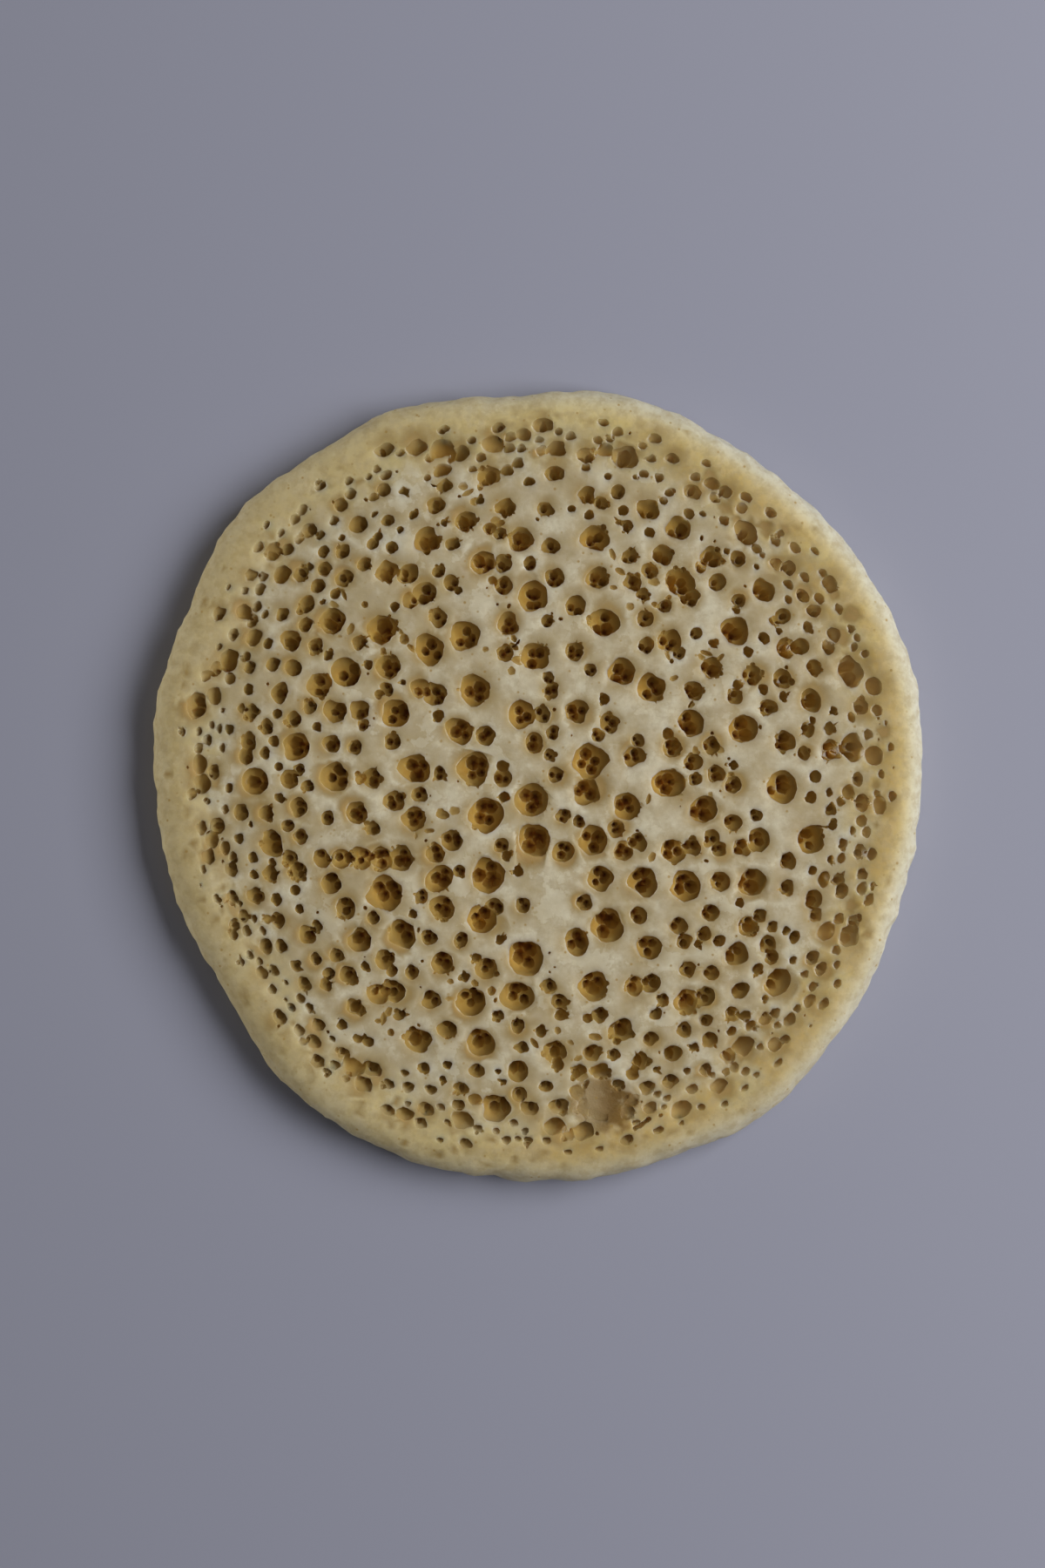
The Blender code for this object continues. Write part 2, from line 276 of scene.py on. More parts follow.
def named_pits():
    start_x, start_y = ROW_START
    row = [(start_x + i * ROW_STEP, start_y, 2.7 + 0.2 * i) for i in range(ROW_COUNT)]
    return list(LARGE) + row


def wanted_pits(draw):
    """Widths and first places of the other pits, widest first."""
    densest = max(row[1] for row in ZONES)
    reach = MEAN_RADIUS + 4
    wanted = []
    for _ in range(int(densest * (2 * reach / 10) ** 2)):
        x, y = draw.uniform(-reach, reach), draw.uniform(-reach, reach)
        edge = from_edge(x, y)
        if edge < RIM_BAND or draw.random() * densest > zone(edge, 1):
            continue
        width = zone(edge, 2) * math.exp(draw.gauss(0, SPREAD))
        most = WIDEST * min(1, 0.35 + edge / 14)
        wanted.append((min(max(width, NARROWEST), most), x, y))
    return sorted(wanted, reverse=True)


def clearest_place(draw, width, x, y, placed):
    """Of a few places about as far from the edge, the one with the most skin round it."""
    angle, edge = math.atan2(y, x), from_edge(x, y)
    best = None
    for _ in range(TRIES):
        turn = angle + draw.uniform(-1, 1) * STRAY_ROUND / max(5, math.hypot(x, y))
        distance = max(RIM_BAND + width / 4, edge + draw.gauss(0, STRAY_IN))
        new_x, new_y = inside_edge(turn, distance)
        if not is_bald(new_x, new_y, width):
            tried = (gap(new_x, new_y, width, placed), new_x, new_y)
            best = max(best, tried) if best else tried
    return best


def twin(draw, width, x, y, placed):
    """A smaller pit joined to the one at x, y, or nothing where it doesn't fit."""
    size = width * draw.uniform(*TWIN_SIZE)
    turn = draw.uniform(0, 2 * math.pi)
    reach = (width + size) / 2 * draw.uniform(*TWIN_REACH)
    new_x, new_y = x + reach * math.cos(turn), y + reach * math.sin(turn)
    others = [pit for pit in placed if pit[:2] != (x, y)]
    fits = from_edge(new_x, new_y) > RIM_BAND + size / 2 and gap(new_x, new_y, size, others) > WALL / 2
    return [(new_x, new_y, size)] if fits else []


def all_pits():
    """Every pit of the cake as x, y and width of its mouth, the named ones first."""
    draw = random.Random(SEED)
    named = named_pits()
    placed = list(named)
    for width, x, y in wanted_pits(draw):
        inside = any(math.hypot(x - px, y - py) < 0.4 * other for px, py, other in named)
        best = None if inside and width > 2 else clearest_place(draw, width, x, y, placed)
        if not best:
            continue
        free, new_x, new_y = best
        if free > WALL:
            placed.append((new_x, new_y, width))
            if width > TWIN_FROM and draw.random() < TWINS:
                placed += twin(draw, width, new_x, new_y, placed)
    return placed


# ---- Bubbles: one row for each hollow that is cut --------------------------------------
# A row is x, y, z, half sizes across, along and down, turn, slope and kind.


def pit_depth(width):
    return min(DEEPEST, DEPTH_BASE + DEPTH_SLOPE * width)


def inward_slope(x, y):
    return math.tan(math.radians(LEAN * (math.hypot(x, y) / MEAN_RADIUS) ** LEAN_GROWTH))


def chamber(draw, x, y, width, share=1.0):
    """The bubble under one mouth, leaning inwards as it goes down; share is of its depth."""
    turn, slope, depth = math.atan2(y, x), inward_slope(x, y), pit_depth(width) * share
    neck = math.sqrt(1 - (SINK / (1 - SINK)) ** 2)
    across = width / 2 / neck
    sink = depth * SINK
    in_x, in_y = -math.cos(turn) * slope * sink, -math.sin(turn) * slope * sink
    squeeze = zone(from_edge(x, y), 3) * draw.uniform(*WIDTH_VARIES)
    return (
        x + in_x, y + in_y, skin(x, y) - sink,
        across * squeeze, across, depth * (1 - SINK), turn, slope, draw.randrange(SHAPES_ROUND),
    )


def cells(draw, x, y, width):
    """The smaller bubbles in a wide pit's floor, with thin walls left between them."""
    turn, slope, depth = math.atan2(y, x), inward_slope(x, y), pit_depth(width)
    count = 1 + int(width / CELL_STEP * draw.uniform(*CELLS_VARY["count"]))
    start = draw.uniform(0, 2 * math.pi)
    rows = []
    for i in range(count):
        way = start + (i + draw.uniform(*CELLS_VARY["way"])) * 2 * math.pi / count
        ring = width * CELL_RING * draw.uniform(*CELLS_VARY["ring"])
        half = width * (CELL_SIZE - CELL_LOSS * count) * draw.uniform(*CELLS_VARY["half"])
        below = depth * draw.uniform(*CELL_DOWN)
        top = skin(x, y)
        down = depth * CELL_DEPTH * draw.uniform(*CELLS_VARY["down"])
        down = max(CELL_LOW, min(down, top - below - CRUMB_LEFT))
        in_x, in_y = -math.cos(turn) * slope * below, -math.sin(turn) * slope * below
        rows.append((
            x + in_x + ring * math.cos(way), y + in_y + ring * math.sin(way), top - below,
            half, half * draw.uniform(*CELLS_VARY["along"]), down, turn, slope, CELL_SHAPE,
        ))
    return rows


def is_flaky(x, y):
    return any(math.hypot(x - fx, y - fy) < radius for fx, fy, radius in FLAKY)


def torn_kind(draw):
    return SHAPES_ROUND + draw.randrange(SHAPES_TORN)


def torn_lip(draw, x, y, width):
    """Bites out of one side of a mouth, more often in the middle of the cake."""
    middle = min(1.0, from_edge(x, y) / TEAR_ZONE)
    share = TEAR_SHARE[0] + (TEAR_SHARE[1] - TEAR_SHARE[0]) * middle
    if draw.random() > share and not is_flaky(x, y):
        return []
    start, span = draw.uniform(0, 2 * math.pi), draw.uniform(*TEAR_SPAN)
    count = int(span * width * NIBBLES) + 1
    squeeze = zone(from_edge(x, y), 3)
    turn = math.atan2(y, x)
    rows = []
    for i in range(count + draw.randrange(0, 3)):
        way, reach = start + draw.uniform(0, span), width / 2 * draw.uniform(*TEAR_REACH)
        out, round_ = reach * squeeze * math.cos(way), reach * math.sin(way)
        bite_x = x + out * math.cos(turn) - round_ * math.sin(turn)
        bite_y = y + out * math.sin(turn) + round_ * math.cos(turn)
        if i < count:
            along = draw.uniform(*NIBBLE) * min(1.2, 0.5 + width / 4)
            across = along * draw.uniform(0.7, 1.3)
        else:
            across, along = draw.uniform(*SPIKE[:2]), draw.uniform(*SPIKE[2:])
        rows.append((
            bite_x, bite_y, skin(bite_x, bite_y) - 0.1,
            across, along, along * draw.uniform(*TEAR_DEPTH), way + turn, 0.0, torn_kind(draw),
        ))
    return rows


def rim_pits(pits):
    """Shallower pits in the gaps just inside the smooth band."""
    draw = random.Random(SEED + 3)
    placed = list(pits)
    for _ in range(RIM_TRIES):
        width, angle = draw.uniform(*RIM_PIT), draw.uniform(0, 2 * math.pi)
        x, y = inside_edge(angle, draw.triangular(*RIM_PIT_IN))
        if gap(x, y, width * 0.7, placed) > 0.1 and not is_bald(x, y, 0.0):
            placed.append((x, y, width))
    return placed[len(pits):]


def hollow_bites(draw):
    """Shallow bubbles side by side in the torn hollow, and torn pits on its border."""
    torn_x, torn_y, radius, _ = TORN
    reach, squeeze = HOLLOW_REACH
    rows = []
    for _ in range(HOLLOW_BITES):
        way, out = draw.uniform(0, 2 * math.pi), radius * reach * math.sqrt(draw.random())
        x, y = torn_x + out * math.cos(way), torn_y + squeeze * out * math.sin(way)
        across = draw.uniform(*HOLLOW_BITE[:2])
        along, down = across * draw.uniform(0.5, 1.1), draw.uniform(*HOLLOW_BITE[2:])
        rows.append((x, y, skin(x, y), across, along, down, way, 0.0, torn_kind(draw)))
    for x, y, width in HOLLOW_PITS:
        rows.append(chamber(draw, x, y, width, RIM_DEPTH))
        rows += torn_lip(draw, x, y, width)
    return rows


def scuffs(draw):
    """Shallow torn patches where the skin flakes."""
    rows = []
    for flaky_x, flaky_y, radius in FLAKY:
        for _ in range(SCUFFS):
            way, out = draw.uniform(0, 2 * math.pi), radius * math.sqrt(draw.random())
            x, y = flaky_x + out * math.cos(way), flaky_y + out * math.sin(way)
            across, along = draw.uniform(*SCUFF[:2]), draw.uniform(*SCUFF[2:4])
            down, turn = draw.uniform(*SCUFF[4:]), draw.uniform(0, math.pi)
            rows.append((x, y, skin(x, y), across, along, down, turn, 0.0, torn_kind(draw)))
    return rows


def crack_steps(draw, x, y, way, count, halves, crook):
    """The cuts of one crooked crack that starts at x, y."""
    across, down = CRACK_CUT
    rows = []
    for _ in range(count):
        way += draw.gauss(0, crook)
        x, y = x + CRACK_STEP * math.cos(way), y + CRACK_STEP * math.sin(way)
        half = draw.uniform(*halves)
        rows.append((x, y, skin(x, y), across, half, down, way, 0.0, draw.randrange(SHAPES_ROUND)))
    return rows


def crack(draw, pits):
    """A thin crooked crack from one mouth, more often where the skin flakes."""
    flaky = draw.random() < CRACK_FLAKY
    edge, least = CRACK_FROM
    x, y, width = draw.choice([
        (x, y, width) for x, y, width in pits
        if from_edge(x, y) > edge and width > least and (is_flaky(x, y) or not flaky)
    ])
    way = draw.uniform(0, 2 * math.pi)
    x, y = x + width / 2 * math.cos(way), y + width / 2 * math.sin(way)
    return crack_steps(draw, x, y, way, draw.randrange(*CRACK_CUTS), *CRACK)


def pore(draw):
    """A needle pore inside the smooth band, or nothing if its place falls outside."""
    x, y = draw.uniform(-MEAN_RADIUS, MEAN_RADIUS), draw.uniform(-MEAN_RADIUS, MEAN_RADIUS)
    if from_edge(x, y) < RIM_BAND:
        return []
    half, kind = draw.uniform(*PORE_SIZE), torn_kind(draw)
    along, turn = half * draw.uniform(*PORE_LENGTH), draw.uniform(0, math.pi)
    return [(x, y, skin(x, y), half, along, half * PORE_DEPTH, turn, 0.0, kind)]


def all_bubbles(pits, shallow):
    """Every hollow of the cake, from the chambers down to the pores."""
    draw = random.Random(SEED + 1)
    rows = []
    for x, y, width in pits:
        if width < CELLS_FROM:
            rows.append(chamber(draw, x, y, width))
        else:
            rows.append(chamber(draw, x, y, width, OVER_CELLS))
            rows += cells(draw, x, y, width)
        rows += torn_lip(draw, x, y, width)
    for x, y, width in shallow:
        rows.append(chamber(draw, x, y, width, RIM_DEPTH * draw.uniform(*RIM_DEPTH_VARIES)))
    rows += hollow_bites(draw)
    rows += scuffs(draw)
    rows += crack_steps(draw, *SLIT)
    for _ in range(CRACKS):
        rows += crack(draw, pits)
    for _ in range(PORES):
        rows += pore(draw)
    return rows


# ---- Nodes -----------------------------------------------------------------------------


class Value:
    """A node's output that takes part in arithmetic: each operation adds its Math node."""

    def __init__(self, graph, socket):
        self.graph, self.socket = graph, socket

    def math(self, operation, *values):
        return self.graph.node("ShaderNodeMath", {"operation": operation}, dict(enumerate(values)))

    def __add__(self, other):
        return self.math("ADD", self, other)

    __radd__ = __add__

    def __mul__(self, other):
        return self.math("MULTIPLY", self, other)

    __rmul__ = __mul__

    def __sub__(self, other):
        return self.math("SUBTRACT", self, other)

    def __rsub__(self, other):
        return self.math("SUBTRACT", other, self)

    def __truediv__(self, other):
        return self.math("DIVIDE", self, other)

    def __rtruediv__(self, other):
        return self.math("DIVIDE", other, self)

    def __pow__(self, other):
        return self.math("POWER", self, other)

    def cos(self):
        return self.math("COSINE", self)

    def sin(self):
        return self.math("SINE", self)

    def least(self, other):
        return self.math("MINIMUM", self, other)

    def most(self, other):
        return self.math("MAXIMUM", self, other)

    def above(self, other):
        return self.math("GREATER_THAN", self, other)

    def step(self, low, high):
        """0 below low, 1 above high and smooth between them."""
        ends = {"Value": self, "From Min": low, "From Max": high}
        return self.graph.node("ShaderNodeMapRange", {"interpolation_type": "SMOOTHSTEP"}, ends)


class Graph:
    """A node tree that is filled in Python."""

    def __init__(self, tree):
        self.tree = tree

    def node(self, kind, settings=None, sockets=None, output=0):
        """Adds a node with its settings first, then its sockets' values or links."""
        made = self.tree.nodes.new(kind)
        for name, value in (settings or {}).items():
            if name == "stops":
                self.set_stops(made.color_ramp, value)
            else:
                setattr(made, name, value)
        for name, value in (sockets or {}).items():
            self.feed(made.inputs[name], value)
        return Value(self, made.outputs[output]) if made.outputs else made

    def feed(self, socket, value):
        if isinstance(value, Value):
            self.tree.links.new(value.socket, socket)
        else:
            socket.default_value = value

    @staticmethod
    def set_stops(ramp, stops):
        """Puts (position, colour) stops on a colour ramp that starts with two."""
        while len(ramp.elements) < len(stops):
            ramp.elements.new(0.5)
        for element, (position, colour) in zip(ramp.elements, stops):
            element.position, element.color = position, (*colour[:3], 1.0)

    def here(self):
        return self.node("GeometryNodeInputPosition")

    def position(self):
        """The three coordinates of a point in the rule's millimetres."""
        return [axis / MM for axis in self.split(self.here())]

    def shape_of(self, thing):
        return self.node("GeometryNodeObjectInfo", None, {0: thing}, "Geometry")

    def sample(self, points, index, value, kind="FLOAT"):
        """What value is at one of the points."""
        sockets = {0: points, "Value": value, "Index": index}
        return self.node("GeometryNodeSampleIndex", {"data_type": kind}, sockets)

    def split(self, vector):
        first = self.node("ShaderNodeSeparateXYZ", None, {0: vector})
        return [Value(self, socket) for socket in first.socket.node.outputs]

    def join(self, x, y, z):
        return self.node("ShaderNodeCombineXYZ", None, {0: x, 1: y, 2: z})

    def named(self, name, kind="FLOAT"):
        settings = {"data_type": kind}
        return self.node("GeometryNodeInputNamedAttribute", settings, {"Name": name})

    def noise(self, vector, scale, detail, roughness=0.5, seed=None):
        """A noise from 0 to 1; one with a seed differs from the others."""
        sockets = {"Vector": vector, "Scale": scale, "Detail": detail, "Roughness": roughness}
        if seed is None:
            return self.node("ShaderNodeTexNoise", None, sockets)
        return self.node("ShaderNodeTexNoise", {"noise_dimensions": "4D"}, {**sockets, "W": seed})

    def mix(self, share, first, second):
        """Two colours mixed: at share 0 the first, at 1 the second."""
        made = self.tree.nodes.new("ShaderNodeMix")
        made.data_type = "RGBA"
        for socket, value in zip([s for s in made.inputs if s.enabled], (share, first, second)):
            if not isinstance(value, Value) and not isinstance(value, (int, float)):
                value = (*value[:3], 1.0)
            self.feed(socket, value)
        return Value(self, next(s for s in made.outputs if s.enabled))

    def layers(self, colour, *layers):
        """A colour with others laid over it, each given as its share and the colour."""
        for share, over in layers:
            colour = self.mix(share, colour, over)
        return colour


def geometry_graph(name, inputs):
    """A geometry node group with a geometry in and out, and one named socket for each input."""
    tree = bpy.data.node_groups.new(name, "GeometryNodeTree")
    tree.interface.new_socket("Geometry", in_out="OUTPUT", socket_type="NodeSocketGeometry")
    tree.interface.new_socket("Geometry", in_out="INPUT", socket_type="NodeSocketGeometry")
    for label, kind in inputs:
        tree.interface.new_socket(label, in_out="INPUT", socket_type=f"NodeSocket{kind}")
    graph = Graph(tree)
    entry = tree.nodes.new("NodeGroupInput")
    sockets = {socket.name: Value(graph, socket) for socket in entry.outputs if socket.name}
    return graph, sockets


def finish_graph(graph, geometry):
    """Ends a group in Realize Instances and Set Material."""
    real = graph.node("GeometryNodeRealizeInstances", None, {0: geometry})
    material = bpy.data.materials[MATERIAL]
    coated = graph.node("GeometryNodeSetMaterial", None, {0: real, "Material": material})
    leave = graph.tree.nodes.new("NodeGroupOutput")
    graph.feed(leave.inputs[0], coated)


def add_nodes(piece, graph, values):
    """Puts a node group on a piece, with its inputs set by their sockets' identifiers."""
    modifier = piece.modifiers.new(graph.tree.name, "NODES")
    modifier.node_group = graph.tree
    for item in graph.tree.interface.items_tree:
        if item.in_out == "INPUT" and item.name in values:
            modifier[item.identifier] = values[item.name]


# ---- The turned and lobed body ---------------------------------------------------------


def section_mesh():
    """Half a section, from the middle of the top round the edge to the middle of the base."""
    count = round((MEAN_RADIUS - CREST_IN) / ROW_SPACING)
    points = [
        (MEAN_RADIUS - edge, top_height(edge)) for edge in np.linspace(MEAN_RADIUS, CREST_IN, count)
    ]
    rise = PLATEAU + RIM_RISE - EDGE_HEIGHT
    for angle in np.linspace(math.pi / 2, 0, CREST_ROWS)[1:]:
        run, up = math.cos(angle) ** (2 / BEND), max(0.0, math.sin(angle)) ** (2 / BEND)
        points.append((MEAN_RADIUS - CREST_IN * (1 - run), EDGE_HEIGHT + rise * up))
    for angle in np.linspace(0, math.pi / 2, FOOT_ROWS)[1:]:
        run = math.cos(angle)
        points.append((MEAN_RADIUS - BASE_IN * (1 - run), EDGE_HEIGHT * (1 - math.sin(angle))))
    points += [(MEAN_RADIUS * share, 0.0) for share in BASE_ROWS]
    mesh = bpy.data.meshes.new("section")
    edges = [(i, i + 1) for i in range(len(points) - 1)]
    mesh.from_pydata([(float(x) * MM, 0.0, float(z) * MM) for x, z in points], edges, [])
    return mesh


def outline_value(angle):
    """The outline's formula as nodes."""
    total = angle * 0 + MEAN_RADIUS
    for count, height, first in LOBES:
        total = total + height * (count * angle - count * math.radians(first)).cos()
    return total


def lobed_graph():
    """Bends the turned cake to its outline, and gives its top its swell, lips and dimples."""
    inputs = (("Swell", "Float"), ("Crinkle", "Float"), ("Ripple", "Float"), ("Lips", "Object"))
    graph, given = geometry_graph("Lobed cake", inputs)
    x, y, z = graph.position()
    angle = y.math("ARCTAN2", y, x)
    where = graph.here()
    edge_noise = graph.noise(where, 260.0, 2.0) - 0.5
    stretch = (outline_value(angle) + given["Crinkle"] * edge_noise) / MEAN_RADIUS
    radius = (x * x + y * y) ** 0.5
    x, y = x * stretch, y * stretch
    edge = MEAN_RADIUS - radius
    inside = ((edge - 1.0) / 6.0).most(0.0).least(1.0)
    swell = (0.16 * x + 0.7).sin() * (0.13 * y - 0.4).cos() + 0.6 * (0.24 * y - 0.1 * x).sin()
    torn_x, torn_y, torn_radius, torn_depth = TORN
    away = ((x - torn_x) ** 2.0 + (y - torn_y) ** 2.0) ** 0.5 / torn_radius
    dent = torn_depth * (away.least(1.0) * (math.pi / 2)).cos() ** 2.0
    ripple = graph.noise(where, 420.0, 2.0) - 0.5
    away, half, soft, sunk, _ = nearest_lip(graph, given["Lips"], x, y)
    lips = sunk * (1.0 - away.step(half * 0.7, half + soft))
    top = z.step(EDGE_HEIGHT, EDGE_HEIGHT + 1.0)
    height = z + top * (given["Swell"] * inside * swell - dent + given["Ripple"] * ripple - lips)
    moved = graph.join(x * MM, y * MM, height * MM)
    geometry = graph.node("GeometryNodeSetPosition", None, {0: given["Geometry"], "Position": moved})
    finish_graph(graph, geometry)
    return graph


def nearest_lip(graph, lips, x, y):
    """The distance to the nearest wide mouth or dimple, and its row's other values."""
    points = graph.shape_of(lips)
    flat = graph.join(x * MM, y * MM, 0.0)
    nearest = graph.node("GeometryNodeSampleNearest", None, {0: points, "Sample Position": flat})
    middle = graph.sample(points, nearest, graph.here(), "FLOAT_VECTOR")
    away = graph.node("ShaderNodeVectorMath", {"operation": "DISTANCE"}, {0: middle, 1: flat}, "Value")
    return [away / MM] + [
        graph.sample(points, nearest, graph.named(name)) for name in ("half", "soft", "sunk", "tint")
    ]


def lip_points(pits, draw):
    """Rows on the plane z = 0 for wide mouths and dimples.

    Each has x, y, half width, softness, how far it sinks and how strongly its painted shade darkens the
    skin.
    """
    rows = []
    for x, y, width in pits:
        if width < HALO_FROM:
            continue
        wide = min(1.0, (width - 1.3) / 2.2)
        way, aside = math.atan2(y, x) + draw.gauss(0, 0.9), width * HALO_ASIDE * draw.random()
        soft = draw.uniform(*HALO["soft"]) + 0.8 * wide
        tint = draw.uniform(*HALO["tint"])
        sunk = wide * draw.uniform(*HALO["sunk"]) * (0.4 + 0.6 * tint)
        rows.append((
            x + aside * math.cos(way), y + aside * math.sin(way), width / 2, soft, sunk, tint,
        ))
    for _ in range(DIMPLES):
        x, y = inside_edge(draw.gauss(*DIMPLES_SIDE), draw.uniform(*DIMPLES_IN))
        half = draw.uniform(*DIMPLE["half"])
        if gap(x, y, 2 * half, pits) > 0.1:
            soft, sunk, tint = (draw.uniform(*DIMPLE[name]) for name in ("soft", "sunk", "tint"))
            rows.append((x, y, half, soft, sunk, tint))
    for _ in range(SEALED):
        angle, half = draw.gauss(*SEALED_SIDE), draw.uniform(*SEALED_BUBBLE["half"])
        x, y = inside_edge(angle, draw.uniform(*SEALED_IN))
        if gap(x, y, 2 * half, pits) > SEALED_OVERLAP:
            sunk, tint = (draw.uniform(*SEALED_BUBBLE[name]) for name in ("sunk", "tint"))
            rows.append((x, y, half, SEALED_BUBBLE["soft"], sunk, tint))
    return rows


def placed_object(name, data):
    """A new object in the scene that holds this mesh, light or camera."""
    made = bpy.data.objects.new(name, data)
    bpy.context.scene.collection.objects.link(made)
    return made


def points_object(name, rows, columns):
    """An object of loose points, with one attribute for each column after the place."""
    mesh = bpy.data.meshes.new(name)
    places = 3 if columns[2] == "z" else 2
    mesh.from_pydata([tuple(v * MM for v in (*row[:places], 0.0)[:3]) for row in rows], [], [])
    for i, column in enumerate(columns[places:], places):
        kind = "INT" if column == "kind" else "FLOAT"
        attribute = mesh.attributes.new(column, kind, "POINT")
        attribute.data.foreach_set("value", [row[i] for row in rows])
    return placed_object(name, mesh)


def turned_object(name):
    """The section turned into a round cake by a Screw modifier."""
    made = placed_object(name, section_mesh())
    screw = made.modifiers.new("Turn", "SCREW")
    screw.steps = screw.render_steps = TURN_STEPS
    screw.use_merge_vertices = True
    screw.merge_threshold = 0.00001
    return made


def made_plain(piece):
    """Replaces a piece's mesh by what its modifiers give, and removes them."""
    evaluated = piece.evaluated_get(bpy.context.evaluated_depsgraph_get())
    plain = bpy.data.meshes.new_from_object(evaluated)
    piece.modifiers.clear()
    old, piece.data = piece.data, plain
    bpy.data.meshes.remove(old)


# ---- Cutting the bubbles out -----------------------------------------------------------


def bubble_kinds(graph, given):
    """Unit bubbles of every kind as instances: rounded, then jagged, then the plain one."""
    kinds = []
    for i in range(CELL_SHAPE + 1):
        torn = i >= SHAPES_ROUND
        shaped = graph.node(
            "GeometryNodeMeshIcoSphere", None, {"Radius": 1.0, "Subdivisions": 1 if torn else 3}
        )
        if i != CELL_SHAPE:
            where, amount = graph.here(), given["Tear" if torn else "Unevenness"]
            push = graph.noise(where, 1.7 if torn else 1.0, 2.0, seed=i * 3.1 + 0.5) - 0.5
            sockets = {0: where, "Scale": push * amount + 1.0}
            moved = graph.node("ShaderNodeVectorMath", {"operation": "SCALE"}, sockets)
            shaped = graph.node("GeometryNodeSetPosition", None, {0: shaped, "Position": moved})
        kinds.append(graph.node("GeometryNodeGeometryToInstance", None, {0: shaped}))
    joined = graph.tree.nodes.new("GeometryNodeJoinGeometry")
    for kind in reversed(kinds):
        graph.tree.links.new(kind.socket, joined.inputs[0])
    return Value(graph, joined.outputs[0])


def bubble_place(graph):
    """The matrix that stretches, leans, turns and places one bubble."""
    across, along, down = (graph.named(name) * MM for name in ("across", "along", "down"))
    turn, slope = graph.named("turn"), graph.named("slope")
    x, y, z = graph.split(graph.here())
    cos, sin = turn.cos(), turn.sin()
    lean = slope * down
    columns = (
        (across * cos, across * sin, 0.0, 0.0),
        (0.0 - along * sin, along * cos, 0.0, 0.0),
        (lean * cos, lean * sin, down, 0.0),
        (x, y, z, 1.0),
    )
    flat = dict(enumerate(value for column in columns for value in column))
    return graph.node("FunctionNodeCombineMatrix", None, flat)


def pitted_graph():
    """Puts a bubble on every point and takes them all out of the cake."""
    inputs = (("Bubbles", "Object"), ("Unevenness", "Float"), ("Tear", "Float"))
    graph, given = geometry_graph("Pits", inputs)
    placed = graph.node("GeometryNodeInstanceOnPoints", None, {
        "Points": graph.shape_of(given["Bubbles"]), "Instance": bubble_kinds(graph, given),
        "Pick Instance": True, "Instance Index": graph.named("kind", "INT"),
    })
    shaped = graph.node("GeometryNodeSetInstanceTransform", None, {
        0: placed, "Transform": bubble_place(graph),
    })
    cut = graph.node("GeometryNodeMeshBoolean", {"operation": "DIFFERENCE", "solver": "MANIFOLD"}, {
        "Mesh 1": given["Geometry"], "Mesh 2": shaped,
    })
    finish_graph(graph, cut)
    return graph


def marks_graph():
    """Stores what the colours follow on the finished cake.

    They are the height of the unbroken skin over each point, the distance from the edge, how
    far the point is from the nearest cell's axis, and how near a sunken lip or a dimple, as the
    mask of the painted shade round them.
    """
    inputs = (("Unbroken", "Object"), ("Bubbles", "Object"), ("Lips", "Object"))
    graph, given = geometry_graph("Marks", inputs)
    x, y, z = graph.position()
    hit = graph.node("GeometryNodeRaycast", None, {
        0: graph.shape_of(given["Unbroken"]), "Source Position": graph.join(x * MM, y * MM, ABOVE),
        "Ray Direction": (0.0, 0.0, -1.0), "Ray Length": ABOVE,
    }, "Hit Distance")
    skin_height = (ABOVE - hit) / MM
    angle = y.math("ARCTAN2", y, x)
    edge = MEAN_RADIUS * (1.0 - (x * x + y * y) ** 0.5 / outline_value(angle))
    away, half, soft, _, tint = nearest_lip(graph, given["Lips"], x, y)
    halo = tint * (1.0 - away.step(half * 0.6, half + soft * 1.2))
    geometry = given["Geometry"]
    marks = (
        ("skin", skin_height), ("edge", edge), ("halo", halo), ("cell", cell_reach(graph, given)),
    )
    for name, value in marks:
        geometry = graph.node("GeometryNodeStoreNamedAttribute", {"data_type": "FLOAT"}, {
            0: geometry, "Name": name, "Value": value,
        })
    finish_graph(graph, geometry)
    return graph


def cell_reach(graph, given):
    """The square of the distance to the nearest cell's leaning axis: 1 at the cell's side."""
    is_cell = graph.named("kind", "INT").above(CELL_SHAPE - 0.5)
    only = graph.node("GeometryNodeSeparateGeometry", None, {
        0: graph.shape_of(given["Bubbles"]), "Selection": is_cell,
    })
    nearest = graph.node("GeometryNodeSampleNearest", None, {0: only})
    middle = graph.split(graph.sample(only, nearest, graph.here(), "FLOAT_VECTOR"))
    across, along, turn, slope = (
        graph.sample(only, nearest, graph.named(name)) for name in ("across", "along", "turn", "slope")
    )
    x, y, z = ((here - there) / MM for here, there in zip(graph.split(graph.here()), middle))
    x, y = x - slope * z * turn.cos(), y - slope * z * turn.sin()
    return ((x * x + y * y) / (across * along)).least(9.0)


# ---- The finished mesh -----------------------------------------------------------------


def largest_body(mesh):
    """Which vertices belong to the largest part of the mesh that hangs together."""
    count = len(mesh.vertices)
    edges = np.empty(len(mesh.edges) * 2, dtype=np.int32)
    mesh.edges.foreach_get("vertices", edges)
    first, second = edges.reshape(-1, 2).T
    label = np.arange(count)
    while True:
        low = np.minimum(label[first], label[second])
        before = label.copy()
        np.minimum.at(label, first, low)
        np.minimum.at(label, second, low)
        label = label[label]
        if np.array_equal(before, label):
            break
    return label == np.bincount(label).argmax()


def remove_scraps(piece):
    """Drops every scrap that isn't joined to the cake."""
    keep = largest_body(piece.data)
    if keep.all():
        return
    shape = bmesh.new()
    shape.from_mesh(piece.data)
    shape.verts.ensure_lookup_table()
    gone = [shape.verts[i] for i in np.flatnonzero(~keep)]
    bmesh.ops.delete(shape, geom=gone, context="VERTS")
    shape.to_mesh(piece.data)
    shape.free()


